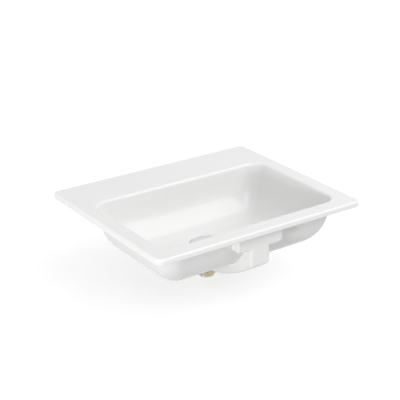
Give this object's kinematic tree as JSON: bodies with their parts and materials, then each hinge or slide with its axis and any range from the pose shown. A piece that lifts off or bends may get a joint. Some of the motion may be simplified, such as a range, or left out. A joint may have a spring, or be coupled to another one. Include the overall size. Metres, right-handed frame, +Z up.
{
  "type": "countertop basin",
  "caption": "Inset countertop washbasin of white glazed ceramic with a tap ledge, an overflow cast into its front wall and a push-operated waste.",
  "frame": {"origin": "centre of the worktop cut-out at the height of the worktop's top face, which the rim's underside rests on", "axes": "+Z up, +X to the right along the basin's long side, +Y to the back, towards the tap ledge"},
  "size_m": [0.55, 0.45, 0.198],
  "materials": {
    "glaze": "gloss",
    "chrome": "satin",
    "brass": "machined",
    "rubber": "matte",
    "foam": "matte",
    "nylon": "matte",
    "acetal": "satin",
    "spring_steel": "satin"
  },
  "bodies": {
    "basin": {"basin_body": "glaze", "rim_seal": "foam", "waste_body": "chrome", "flange_seal": "rubber", "underside_gasket": "rubber", "slip_washer": "nylon", "back_nut": "brass", "cartridge_seal": "rubber", "cartridge_barrel": "brass", "cartridge_end_plug": "brass", "cartridge_spring": "spring_steel"},
    "plug": {"plug_cap": "chrome", "plug_seal": "rubber", "plug_stem": "brass", "stem_locknut": "brass", "cartridge_plunger": "brass"},
    "rotor": {"cartridge_rotor": "acetal"}
  },
  "joints": [
    {"name": "plug_slide", "type": "slide", "parent": "basin", "child": "plug", "axis": [0, 0, 1], "range_m": [0, 0.008], "deforming": ["cartridge_spring"]},
    {"name": "rotor_turn", "type": "hinge", "parent": "plug", "child": "rotor", "pos_m": [0, -0.004, -0.1327], "axis": [0, 0, 1], "range_deg": [0, 61]}
  ],
  "couplings": [
    {"joint": "rotor_turn", "follows": "plug_slide", "rad_per_m": 130.9}
  ]
}
